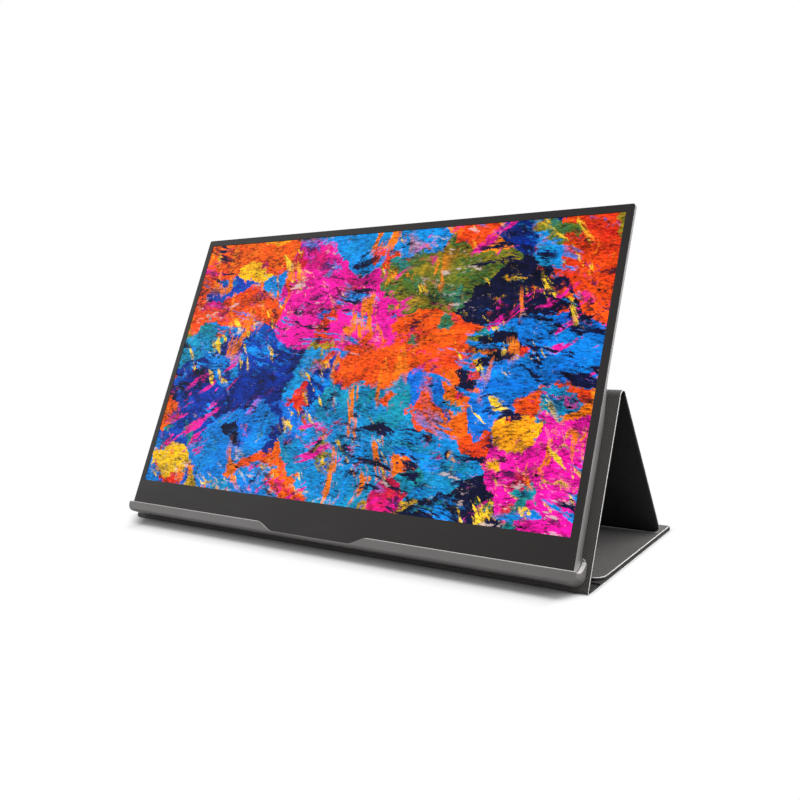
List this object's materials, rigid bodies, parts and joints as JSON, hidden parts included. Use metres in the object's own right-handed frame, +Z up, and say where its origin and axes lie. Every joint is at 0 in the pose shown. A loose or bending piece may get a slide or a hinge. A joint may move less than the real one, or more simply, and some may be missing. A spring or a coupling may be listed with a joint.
{
  "type": "portable monitor with cover",
  "caption": "Thin portable monitor seated in a moulded cradle tray, standing on its folding cover, which tents behind it and folds flat over the screen when closed.",
  "frame": {"origin": "middle of the lower base flap's underside, on the table", "axes": "+X to the viewer's right along the folds, +Y away from the viewer, +Z up; the part rests on Z = 0"},
  "size_m": [0.3648, 0.1438, 0.2075],
  "materials": {
    "bezel": "satin black front frame",
    "screen": "semi-gloss display surface",
    "display_parts": "clear and white optical sheets",
    "tape": "black foam tape",
    "sheet_metal": "plated sheet steel",
    "circuit": "green lacquered circuit board",
    "chip": "moulded black packages",
    "ribbon": "amber flat cable",
    "pad": "soft grey-violet pad",
    "insulator": "black film",
    "plastic": "black moulded plastic",
    "shell": "bead-blasted silver",
    "tray": "warm grey moulded plastic with a fine grain",
    "leather": "black leatherette",
    "lining": "dark grey ribbed lining",
    "board": "grey stiffener board",
    "magnet": "plated magnets and steel strip"
  },
  "bodies": {
    "screen_and_cradle": {"front_bezel": "bezel", "bezel_tape": "tape", "display_film": "screen", "lcd_cell": "screen", "film_stack": "display_parts", "light_guide": "display_parts", "led_bar": "display_parts", "lcd_tray": "sheet_metal", "driver_board": "circuit", "panel_ribbon": "ribbon", "main_board": "circuit", "main_chips": "chip", "board_screws": "sheet_metal", "heat_pad": "pad", "insulating_sheet": "insulator", "usb_c_ports": "sheet_metal", "mini_hdmi_port": "sheet_metal", "audio_jack": "plastic", "port_strip": "plastic", "key_board": "circuit", "speaker_left": "plastic", "speaker_right": "plastic", "back_shell": "shell", "mounting_pads": "tape", "tray_adhesive": "tape", "cradle_tray": "tray", "rear_panel_skin": "leather", "rear_panel_board": "board", "rear_panel_lining": "lining", "ridge_fold": "lining", "base_fold": "lining"},
    "strut": {"strut_skin": "leather", "strut_board": "board", "strut_lining": "lining", "strut_magnets": "magnet"},
    "spine": {"spine_skin": "leather", "spine_board": "board", "spine_lining": "lining", "spine_fold": "lining"},
    "lower_flap": {"lower_flap_skin": "leather", "lower_flap_board": "board", "lower_flap_lining": "lining", "rear_fold": "lining"},
    "upper_flap": {"upper_flap_skin": "leather", "upper_flap_board": "board", "upper_flap_lining": "lining", "foot_plate": "magnet", "closing_magnets": "magnet"},
    "power_key": {"power_key": "plastic"},
    "menu_rocker": {"menu_rocker": "plastic"}
  },
  "joints": [
    {"name": "strut_hinge", "type": "hinge", "parent": "screen_and_cradle", "child": "strut", "pos_m": [0, -0.01991, 0.10324], "axis": [1, 0, 0], "range_deg": [0, 125], "deforming": ["ridge_fold"]},
    {"name": "cover_swing", "type": "hinge", "parent": "screen_and_cradle", "child": "spine", "pos_m": [0, -0.07392, 0.00067], "axis": [-1, 0, 0], "range_deg": [0, 207], "deforming": ["base_fold"]},
    {"name": "spine_fold_bend", "type": "hinge", "parent": "spine", "child": "lower_flap", "pos_m": [0, -0.0598, -0.00005], "axis": [-1, 0, 0], "range_deg": [0, 90.01], "deforming": ["spine_fold"]},
    {"name": "rear_fold_bend", "type": "hinge", "parent": "lower_flap", "child": "upper_flap", "pos_m": [0, 0.05992, 0.00185], "axis": [-1, 0, 0], "range_deg": [0, 180.02], "deforming": ["rear_fold"]},
    {"name": "power_press", "type": "slide", "parent": "screen_and_cradle", "child": "power_key", "axis": [1, 0, 0], "range_m": [0, 0.0005], "stiffness_N_per_m": 800, "springref_m": -0.0004},
    {"name": "rocker_tilt", "type": "hinge", "parent": "screen_and_cradle", "child": "menu_rocker", "pos_m": [-0.17475, -0.04772, 0.06679], "axis": [0, -0.891, 0.454], "range_deg": [-4, 4], "stiffness_Nm_per_rad": 0.03}
  ],
  "couplings": [
    {"joint": "spine_fold_bend", "follows": "cover_swing", "ratio": 0.43478},
    {"joint": "rear_fold_bend", "follows": "cover_swing", "ratio": 0.86957}
  ]
}
